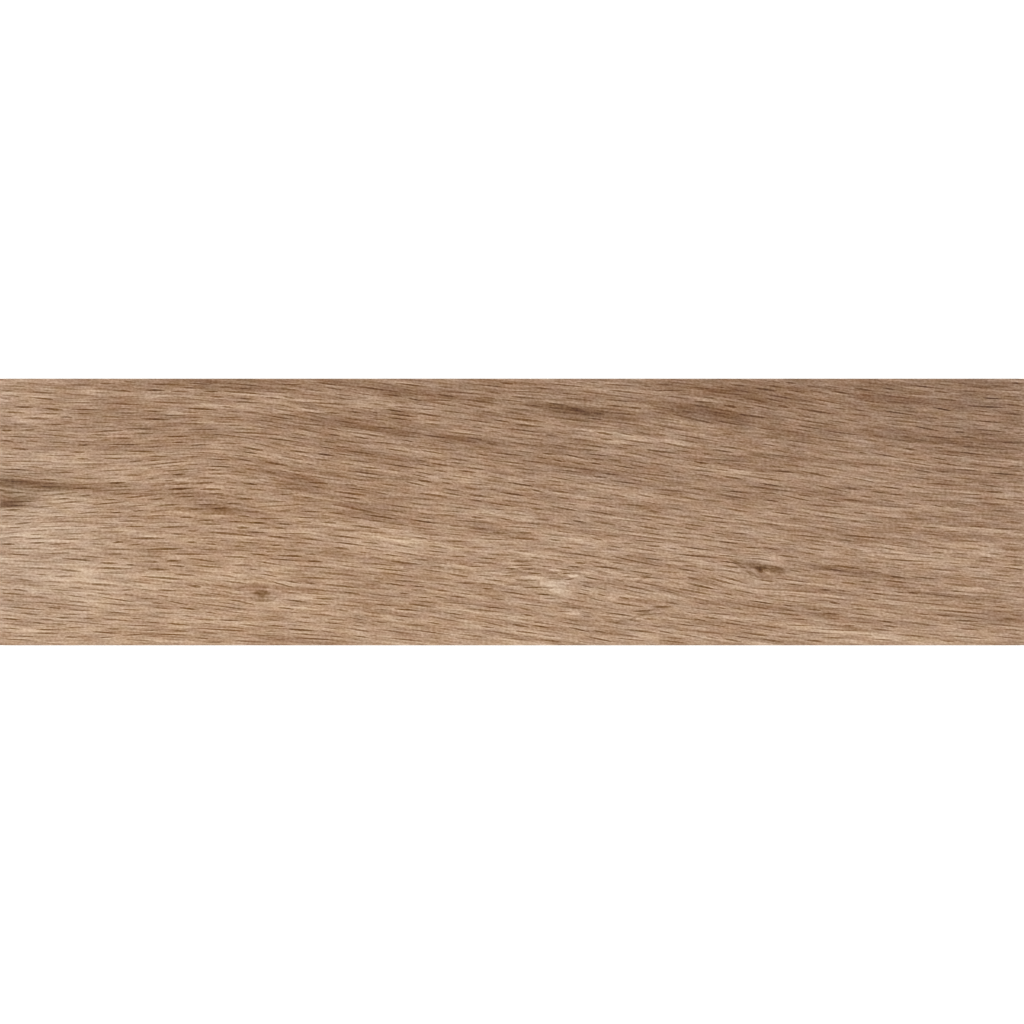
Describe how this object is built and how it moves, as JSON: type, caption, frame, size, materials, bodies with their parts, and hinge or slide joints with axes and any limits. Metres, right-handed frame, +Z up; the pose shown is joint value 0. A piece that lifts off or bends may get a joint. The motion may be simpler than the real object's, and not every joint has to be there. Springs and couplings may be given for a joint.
{
  "type": "wood-look porcelain plank tile",
  "caption": "Flat rectangular glazed porcelain plank with an oak-look printed face, ground bevelled edges and a pocketed back, bedded in adhesive as a floor or wall covering.",
  "frame": {"origin": "middle of the underside, on the plane of the back's ribs, where the plank lies on a floor", "axes": "+X along the plank's length, +Y across its width, +Z up out of the printed face"},
  "size_m": [0.6, 0.156, 0.009],
  "materials": {
    "printed_porcelain": "matte"
  },
  "bodies": {
    "root": {"plank_tile": "printed_porcelain"}
  },
  "joints": []
}
